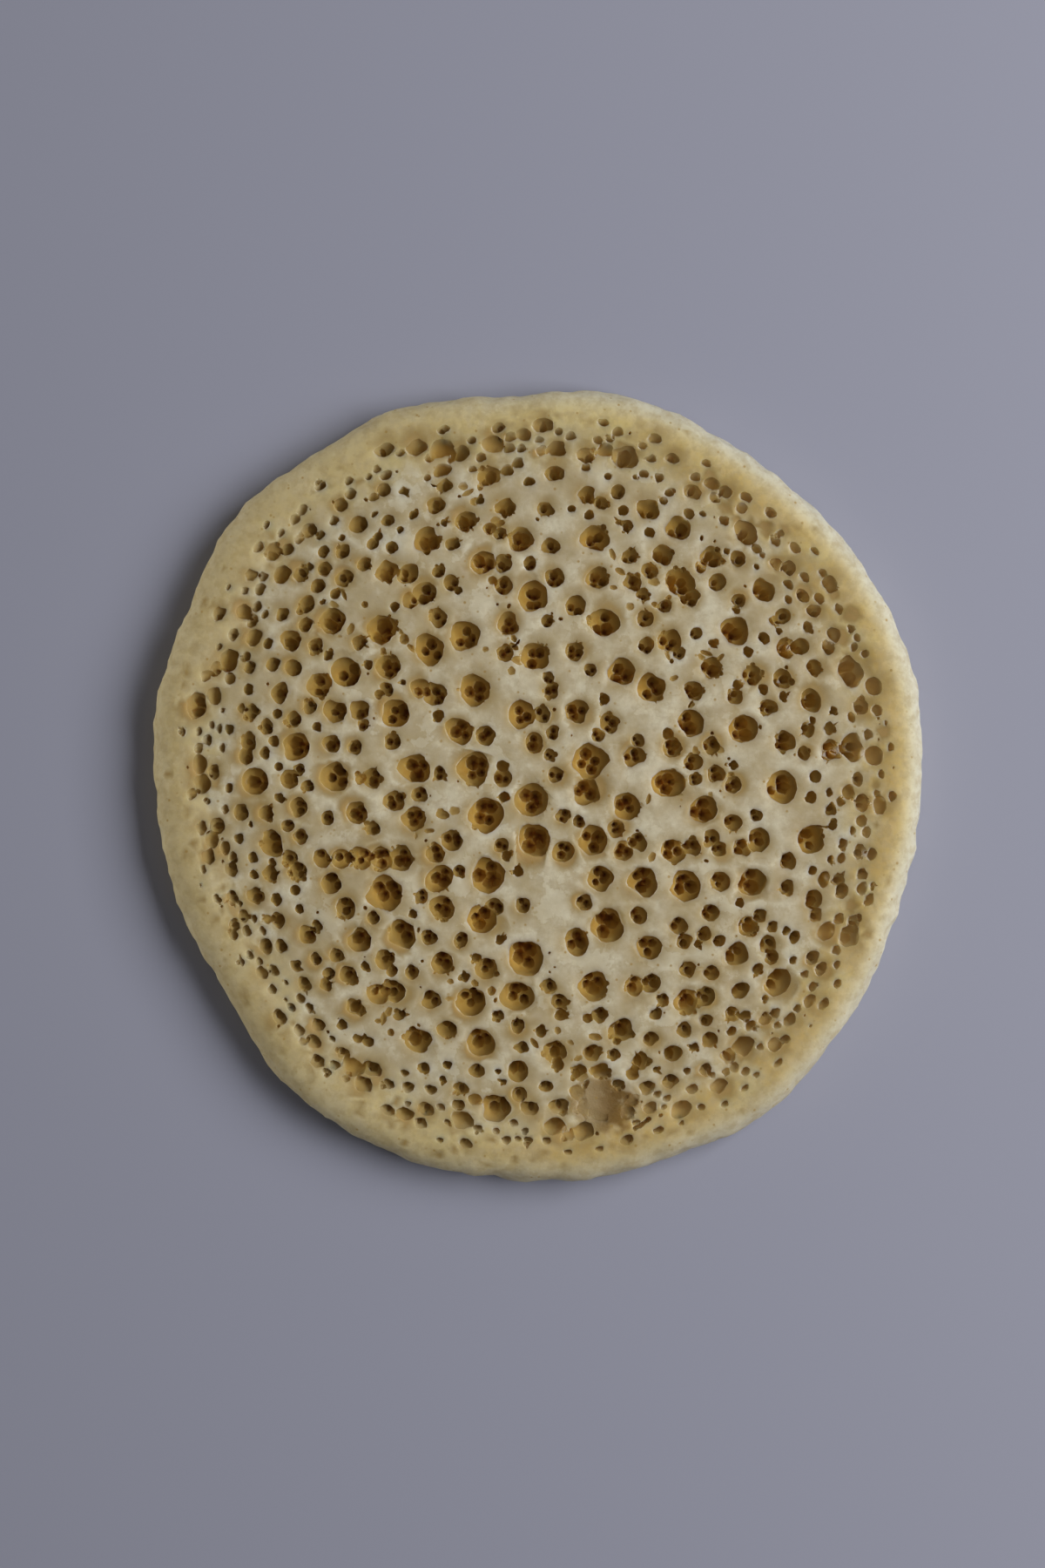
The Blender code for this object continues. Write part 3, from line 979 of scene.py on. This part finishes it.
def fit_to_solid(mesh):
    """Moves the finished mesh into the solid's box."""
    points = np.empty(len(mesh.vertices) * 3)
    mesh.vertices.foreach_get("co", points)
    points = points.reshape(-1, 3)
    low, high = points.min(axis=0), points.max(axis=0)
    box_low, box_high = np.array(CAD_BOX[0]), np.array(CAD_BOX[1])
    points = box_low + (points - low) / (high - low) * (box_high - box_low)
    mesh.vertices.foreach_set("co", points.ravel())
    mesh.update()


# ---- Batter -----------------------------------------------------------------------------
# Steps on places, on the distance from the edge and on depth are in millimetres.

PATTERNS = (  # the noises: name, scale, detail, roughness, and a seed for those that need one
    ("patches", 130.0, 3.0, 0.5, None),
    ("mottle", 230.0, 4.0, 0.55, 7.0),
    ("blotch", 320.0, 2.0, 0.5, 2.0),
    ("grain", 900.0, 4.0, 0.6, None),
    ("crumbs", 700.0, 3.0, 0.6, 5.0),
    ("peeling", 190.0, 5.0, 0.6, 4.0),
    ("dry", 75.0, 1.0, 0.5, 9.0),
    ("griddled", 210.0, 4.0, 0.65, None),
)
HOLES = 620.0            # scale of the needle holes
RAMP_DEPTH = 4.0         # the depth at which the pits' colours end
BUMP = 0.00012           # metres; height of the grain's relief
GLOW_SHARES = (1.0, 0.92, 0.80)      # how far red, green and blue spread, as shares of the glow


def batter_marks(graph):
    """What the colours follow: places in millimetres, the stored marks and the noises."""
    where = graph.node("ShaderNodeTexCoord", output="Object")
    marks = SimpleNamespace()
    marks.x, marks.y, marks.z = (axis / MM for axis in graph.split(where))
    for name in ("skin", "edge", "halo", "cell"):
        source = graph.node("ShaderNodeAttribute", {"attribute_name": name}, output="Fac")
        setattr(marks, name, source)
    for name, scale, detail, roughness, seed in PATTERNS:
        setattr(marks, name, graph.noise(where, scale, detail, roughness, seed))
    holes = graph.node("ShaderNodeTexVoronoi", None, {"Vector": where, "Scale": HOLES}, "Distance")
    # painted shade: needle holes drawn as dark dots on the skin, the shade in holes too fine to cut
    marks.needles = (1.0 - holes.step(0.06, 0.17)) * marks.blotch.step(0.4, 0.55)
    torn_x, torn_y, torn_radius, _ = TORN
    away = ((marks.x - torn_x) ** 2.0 + 1.6 * (marks.y - torn_y) ** 2.0) ** 0.5 / torn_radius
    marks.hollow = 1.0 - (away + 1.3 * (marks.blotch - 0.5)).step(0.7, 1.0)
    marks.hazy = 1.0 - marks.edge.step(6.5, 13.5)
    marks.depth = (marks.skin - marks.z) * marks.edge.step(3.2, 4.2)
    return marks


def bare_skin(graph, marks, settings):
    """Pale skin in a yellow rim, tan painted shade to the left and below, a darker golden band inside
    the rim that is painted shade on the right, and a paler outer edge to the right as painted highlight.
    """
    x, y, edge, patches = marks.x, marks.y, marks.edge, marks.patches
    wander = edge + 5.0 * (patches - 0.5)
    colour = graph.mix(wander.step(6.5, 12.5), settings.rim_colour, settings.skin_colour)
    # painted highlight: the outer edge paler to the right, where the window light falls
    lit_side = 0.4 + 0.6 * x.step(-30.0, 35.0)
    outer = graph.mix(lit_side, settings.rim_colour, settings.edge_colour)
    colour = graph.mix(edge.step(0.4, 4.0), outer, colour)
    # painted shade: tan laid over the skin to the left and towards the bottom, away from the window
    # light; the ring is a tan band inside the rim
    left = (1.0 - x.step(-45.0, 15.0)) * 0.6
    ring = edge.step(4.2, 6.0) * (1.0 - edge.step(9.0, 15.0)) * 0.4
    bottom_shade = (1.0 - y.step(-50.0, -5.0)) * 0.45
    # the darker golden band inside the rim: on the right, painted shade on the rim's inner slope; on the
    # lower side, golden batter
    low_side = (1.0 - y.step(-48.0, -30.0)) * x.step(-12.0, 4.0)
    golden = x.step(0.0, 35.0).most(low_side) * patches.step(0.3, 0.5)
    moist = golden * edge.step(1.5, 5.0) * (1.0 - edge.step(6.5, 10.5))
    return graph.layers(
        colour,
        (left.most(ring).most(bottom_shade), settings.tan_colour),
        (moist * 0.8, settings.golden_and_shade_colour),
    )


def mottled_skin(graph, marks, settings, colour):
    """Tan and pale patches, fine grain and peeling skin, all but the grain fainter on the rim."""
    mottle, peeling = marks.mottle, marks.peeling
    plateau = 0.2 + 0.8 * marks.edge.step(5.0, 11.0)
    peel = peeling.step(0.525, 0.545) * plateau * marks.dry.step(0.42, 0.56)
    shadow = peeling.step(0.495, 0.52) * (1.0 - peeling.step(0.52, 0.53)) * plateau
    return graph.layers(
        colour,
        (mottle.step(0.50, 0.64) * 0.8 * plateau, settings.tan_colour),
        (marks.blotch.step(0.54, 0.75) * 0.6 * plateau, settings.blotch_colour),
        ((1.0 - mottle.step(0.36, 0.52)) * 0.8 * plateau, settings.pale_colour),
        (marks.patches.step(0.50, 0.70) * 0.5 * plateau, settings.pale_colour),
        (marks.grain.step(0.38, 0.68) * 0.38, settings.grain_colour),
        (peel * 0.45, settings.pale_colour),
        (shadow * 0.25, settings.tan_colour),
    )


def crumb_and_painted_shade(graph, marks, settings, colour):
    """Bare crumb in the torn hollow with painted shade on its right, yolky flecks, painted shade round
    wide mouths and over dimples and sealed bubbles, and needle holes painted as dots of shade.
    """
    torn_x, halo, crumbs = TORN[0], marks.halo, marks.crumbs
    # painted shade: the bared crumb darker on the hollow's right, where its wall lies in shade
    right_shade = 0.55 + 0.45 * marks.x.step(torn_x - 2.0, torn_x + 2.0)
    raw = graph.mix(crumbs.step(0.16, 0.46) * right_shade, settings.tan_colour, settings.raw_colour)
    yolky = (1.0 - marks.edge.step(4.0, 9.0)) * crumbs.step(0.46, 0.62)
    return graph.layers(
        colour,
        (marks.hollow * 0.95, raw),
        (yolky * 0.25, settings.yolk_and_shade_colour),
        # painted shade: the skin darkened round wide mouths, over dimples and over sealed bubbles, where
        # the hollow under the thin skin shows through; the skin also sinks there
        ((halo * (0.8 + 0.8 * marks.mottle)).least(0.95), settings.yolk_and_shade_colour),
        (halo.step(0.5, 1.0) * 0.9, settings.sealed_shade_colour),
        (marks.needles * 0.8, settings.shaded_wall_colour),
    )


def pit_insides(graph, marks, settings):
    """Walls and floors by their depth: the walls painted darker and the floors lighter, as painted shade
    and light over the crumb's brown. The cells are painted dark as shade, and the rim's pits lighter,
    most on the right, as painted light.
    """
    # painted shade and light: the walls' stops are darker than the floors' below them, to damp the
    # window light on the upper walls and lift the shade on the floors; the brown is the crumb's own
    stops = (
        (0.0, settings.lip_colour),
        (0.11, settings.shaded_wall_colour),
        (0.24, settings.shaded_wall_colour),
        (0.50, settings.pit_colour),
        (0.95, settings.deep_colour),
    )
    depth = (marks.depth + 0.6 * (marks.blotch - 0.5)) / RAMP_DEPTH
    wobbly = marks.cell + 0.3 * (marks.grain - 0.5)
    low = marks.depth.step(0.9, 1.4)
    return graph.layers(
        graph.node("ShaderNodeValToRGB", {"stops": stops}, {0: depth}),
        # painted shade: the cells darkened, the shade in the deeper holes of the floors
        ((1.0 - wobbly.step(0.2, 1.0)) * 0.4 * low, settings.cell_shade_colour),
        ((1.0 - wobbly.step(0.14, 0.40)) * 0.92 * low, settings.cell_shade_colour),
        # painted light: the rim's pits lighter, most on the right where shade falls in them, and a
        # little all round the rim for their haze
        (marks.hazy * (0.15 + 0.75 * marks.x.step(-20.0, 30.0)), settings.haze_and_light_colour),
    )


def underside(graph, marks, settings):
    """Golden griddled batter with darker spots, and yellow where it meets the side."""
    spots = marks.griddled.step(0.35, 0.68)
    brown = graph.mix(spots, settings.griddle_colour, settings.scorch_colour)
    return graph.mix(marks.edge.step(1.5, 4.5), settings.rim_colour, brown)


def batter_material(settings):
    """Cream skin, yellow rim, brown pits and a golden underside, all a little translucent."""
    material = bpy.data.materials.new(MATERIAL)
    material.use_nodes = True
    graph = Graph(material.node_tree)
    marks = batter_marks(graph)
    inside = ((marks.depth - 0.05) / (0.2 + 1.2 * marks.hazy)).step(0.0, 1.0)
    colour = bare_skin(graph, marks, settings)
    colour = mottled_skin(graph, marks, settings, colour)
    colour = crumb_and_painted_shade(graph, marks, settings, colour)
    colour = graph.layers(
        colour,
        (inside * (1.0 - 0.5 * marks.hollow), pit_insides(graph, marks, settings)),
        (1.0 - marks.z.step(0.15, 0.6), underside(graph, marks, settings)),
    )
    bump = graph.node("ShaderNodeBump", None, {
        "Strength": 0.5, "Distance": BUMP,
        "Height": marks.grain + marks.hollow * (2.0 * marks.crumbs + 2.0 * marks.grain),
    })
    shader = material.node_tree.nodes["Principled BSDF"]
    graph.feed(shader.inputs["Base Color"], colour)
    graph.feed(shader.inputs["Roughness"], 0.50 + 0.22 * marks.grain + 0.25 * inside)
    graph.feed(shader.inputs["Normal"], bump)
    shader.inputs["Subsurface Weight"].default_value = 0.9
    shader.inputs["Subsurface Radius"].default_value = GLOW_SHARES
    shader.inputs["Subsurface Scale"].default_value = settings.glow
    shader.inputs["Specular IOR Level"].default_value = 0.35
    return material


# ---- Stage, in metres --------------------------------------------------------------------

FLOOR_SIZE, FLOOR_GAP = 3.0, 0.00005     # the gap keeps the floor clear of the cake's base
DAYLIGHT, WARM = (1.0, 0.985, 0.96), (1.0, 0.94, 0.76)
SKY_COLOUR = (0.96, 0.965, 0.975)
TOP_SHARE = 0.85         # the top card's power, as a share of the left one's
SENSOR = 36.0            # millimetres
VIEW_MIDDLE = (-2.1, 0.3)    # the camera's place over the cake, in millimetres


# ---- Settings ---------------------------------------------------------------------------


def colour_setting(name, description, default):
    return FloatVectorProperty(
        name=name, description=description, default=default, size=3, min=0.0, max=1.0, subtype="COLOR"
    )


def length_setting(name, description, default):
    return FloatProperty(
        name=name, description=description, default=default, min=0.0, unit="LENGTH", precision=5
    )


class QatayefCakeSettings(bpy.types.PropertyGroup):
    """Sizes and colours of the pancake."""

    glow: length_setting("Glow", "How far light spreads inside the crumb", 0.0034)
    triangles: IntProperty(
        name="Triangles", description="Most triangles in the finished pancake", default=196000, min=1000
    )
    crease: FloatProperty(
        name="Crease", description="Edges sharper than this stay crisp", default=math.radians(42),
        min=0.0, max=math.pi, unit="ROTATION"
    )
    skin_colour: colour_setting("Skin", "The plateau's skin", (0.56, 0.490, 0.338))
    pale_colour: colour_setting("Pale skin", "Dry, pale patches of the skin", (0.695, 0.646, 0.495))
    blotch_colour: colour_setting("Blotches", "Thin, greyish patches of the skin", (0.495, 0.412, 0.283))
    grain_colour: colour_setting("Grain", "Fine darker grain of the skin", (0.43, 0.352, 0.214))
    rim_colour: colour_setting("Rim", "The moist yellow rim", (0.64, 0.523, 0.226))
    # laid on more to the right as painted highlight
    edge_colour: colour_setting("Edge", "The pale outer edge", (0.61, 0.597, 0.487))
    # painted shade round wide mouths and dimples, and the colour of the yolky flecks on the rim
    yolk_and_shade_colour: colour_setting("Halos", "Moist skin that sinks to a wide mouth", (0.345, 0.24, 0.078))
    # painted shade over an unburst bubble
    sealed_shade_colour: colour_setting("Sealed bubbles", "Skin over an unburst bubble", (0.44, 0.295, 0.108))
    raw_colour: colour_setting("Raw crumb", "Crumb bared in the torn hollow", (0.225, 0.122, 0.019))
    # on the right, painted shade on the rim's inner slope; on the lower side, the batter's golden colour
    golden_and_shade_colour: colour_setting("Moist band", "The golden band inside the rim", (0.54, 0.375, 0.115))
    # painted light in the rim's pits, most on the right, over their haze
    haze_and_light_colour: colour_setting("Rim pits", "The hazy insides of the rim's pits", (0.64, 0.462, 0.18))
    # also laid on as painted shade to the left and below, and as the peeling's shadow lines
    tan_colour: colour_setting("Tan patches", "Moist, darker patches of the skin", (0.478, 0.392, 0.226))
    lip_colour: colour_setting("Lips", "Thin skin round a mouth", (0.46, 0.33, 0.118))
    # painted shade on the pits' upper walls, against the window light they catch; also the needle holes'
    # colour
    shaded_wall_colour: colour_setting("Pit walls", "The upper walls of the pits", (0.38, 0.243, 0.059))
    # painted light: the floors lighter than the walls above them, against the shade in the pits
    pit_colour: colour_setting("Pit floors", "The floors of the pits", (0.50, 0.297, 0.053))
    deep_colour: colour_setting("Deep floors", "The floors of the deepest pits", (0.54, 0.295, 0.041))
    # painted shade in the cells of the floors
    cell_shade_colour: colour_setting("Cells", "The cells in the floors", (0.24, 0.074, 0.002))
    griddle_colour: colour_setting("Griddled side", "The golden underside", (0.47, 0.25, 0.085))
    scorch_colour: colour_setting("Darker griddling", "Darker spots under it", (0.30, 0.13, 0.04))


class QatayefStageSettings(bpy.types.PropertyGroup):
    """The floor, the lights and the camera."""

    floor_colour: colour_setting("Floor", "The pale floor", (0.384, 0.396, 0.503))
    field: length_setting("Field", "Height of the camera's view at the pancake", 0.2184)
    lens: FloatProperty(name="Lens", description="Focal length in mm", default=85.0, min=10.0)
    key_power: FloatProperty(
        name="Key light", description="Power of the window light", default=6.4, min=0.0, unit="POWER"
    )
    card_power: FloatProperty(
        name="Cards", description="Power of the cards that light the cake from the left and above",
        default=0.70, min=0.0, unit="POWER"
    )
    sky: FloatProperty(name="Sky", description="Strength of the even light", default=0.101, min=0.0)


# ---- Operators --------------------------------------------------------------------------


class QATAYEF_OT_pancake(bpy.types.Operator):
    """Build the pitted pancake"""

    bl_idname = "qatayef.pancake"
    bl_label = "Pancake"

    def execute(self, context):
        settings = context.scene.qatayef_cake
        batter_material(settings)
        pits = all_pits()
        shallow = rim_pits(pits)
        draw = random.Random(SEED + 2)
        lips = points_object(
            "lips", lip_points(pits + shallow, draw), ("x", "y", "half", "soft", "sunk", "tint")
        )
        bubbles = points_object("bubbles", all_bubbles(pits, shallow), (
            "x", "y", "z", "across", "along", "down", "turn", "slope", "kind",
        ))
        lobed = lobed_graph()
        cake, unbroken = turned_object("cake"), turned_object("unbroken")
        for body in (cake, unbroken):
            add_nodes(body, lobed, {
                "Swell": SWELL, "Crinkle": CRINKLE, "Ripple": RIPPLE, "Lips": lips,
            })
        made_plain(unbroken)
        add_nodes(cake, pitted_graph(), {
            "Bubbles": bubbles, "Unevenness": UNEVENNESS, "Tear": TEAR,
        })
        made_plain(cake)
        remove_scraps(cake)
        self.thin(cake, settings)
        add_nodes(cake, marks_graph(), {"Unbroken": unbroken, "Bubbles": bubbles, "Lips": lips})
        made_plain(cake)
        fit_to_solid(cake.data)
        cake.data.shade_smooth()
        cake.data.set_sharp_from_angle(angle=settings.crease)
        for helper in (lips, bubbles, unbroken):
            bpy.data.objects.remove(helper)
        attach(cake, BODY)
        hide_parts(NODE)
        return {"FINISHED"}

    @staticmethod
    def thin(cake, settings):
        """Drops the triangles that the cake's shape needs least."""
        cake.data.calc_loop_triangles()
        thin = cake.modifiers.new("Thin", "DECIMATE")
        thin.ratio = min(1.0, settings.triangles / len(cake.data.loop_triangles))
        made_plain(cake)


class QATAYEF_OT_stage(bpy.types.Operator):
    """Build the floor, the lights and the camera"""

    bl_idname = "qatayef.stage"
    bl_label = "Stage"

    def execute(self, context):
        settings = context.scene.qatayef_stage
        self.floor(settings)
        self.lights(context.scene, settings)
        self.camera(context.scene, settings)
        context.scene.view_settings.view_transform = "Standard"
        return {"FINISHED"}

    @staticmethod
    def floor(settings):
        bpy.ops.mesh.primitive_plane_add(size=FLOOR_SIZE, location=(0.0, 0.0, -FLOOR_GAP))
        floor = bpy.context.object
        floor.name = "floor"
        material = bpy.data.materials.new("floor")
        material.use_nodes = True
        shader = material.node_tree.nodes["Principled BSDF"]
        shader.inputs["Base Color"].default_value = (*settings.floor_colour, 1.0)
        shader.inputs["Roughness"].default_value = 0.75
        floor.data.materials.append(material)

    @staticmethod
    def lights(scene, settings):
        lit = bpy.data.collections.new("lit by the cards")
        lit.objects.link(bpy.data.objects["cake"])
        for name, power, size, place, colour in (
            ("window", settings.key_power, (0.78, 0.48), (0.612, 0.12, 0.51), DAYLIGHT),
            ("left card", settings.card_power, (0.4, 0.04), (-0.41, 0.09, 0.03), WARM),
            ("top card", settings.card_power * TOP_SHARE, (0.5, 0.5), (0.08, 0.04, 0.65), DAYLIGHT),
        ):
            light = bpy.data.lights.new(name, "AREA")
            light.energy, light.color = power, colour
            light.shape = "RECTANGLE"
            light.size, light.size_y = size
            lamp = placed_object(name, light)
            lamp.location = place
            lamp.rotation_euler = (-Vector(place)).to_track_quat("-Z", "Y").to_euler()
            if name != "window":
                lamp.light_linking.receiver_collection = lit
        world = bpy.data.worlds.new("sky")
        world.use_nodes = True
        sky = world.node_tree.nodes["Background"]
        sky.inputs["Color"].default_value = (*SKY_COLOUR, 1.0)
        sky.inputs["Strength"].default_value = settings.sky
        scene.world = world

    @staticmethod
    def camera(scene, settings):
        """Straight above the pancake, which lies a little to the right of the view's middle."""
        lens = bpy.data.cameras.new("camera")
        lens.lens, lens.sensor_width = settings.lens, SENSOR
        camera = placed_object("camera", lens)
        above = settings.field * settings.lens / lens.sensor_width
        camera.location = (VIEW_MIDDLE[0] * MM, VIEW_MIDDLE[1] * MM, PLATEAU * MM + above)
        scene.camera = camera


class QATAYEF_PT_panel(bpy.types.Panel):
    """The pancake's builders and their settings"""

    bl_label = "Qatayef pancake"
    bl_space_type = "VIEW_3D"
    bl_region_type = "UI"
    bl_category = "Qatayef"

    def draw(self, context):
        for settings, operator in (
            (context.scene.qatayef_cake, QATAYEF_OT_pancake),
            (context.scene.qatayef_stage, QATAYEF_OT_stage),
        ):
            box = self.layout.box()
            for name in settings.bl_rna.properties.keys():
                if name not in ("rna_type", "name"):
                    box.prop(settings, name)
            box.operator(operator.bl_idname)


CLASSES = (
    QatayefCakeSettings, QatayefStageSettings, QATAYEF_OT_pancake, QATAYEF_OT_stage,
    QATAYEF_PT_panel,
)


def register():
    for item in CLASSES:
        bpy.utils.register_class(item)
    bpy.types.Scene.qatayef_cake = PointerProperty(type=QatayefCakeSettings)
    bpy.types.Scene.qatayef_stage = PointerProperty(type=QatayefStageSettings)


def unregister():
    del bpy.types.Scene.qatayef_stage
    del bpy.types.Scene.qatayef_cake
    for item in reversed(CLASSES):
        bpy.utils.unregister_class(item)


def main():
    register()
    bpy.ops.qatayef.pancake()
    bpy.ops.qatayef.stage()


if __name__ == "__main__":
    main()
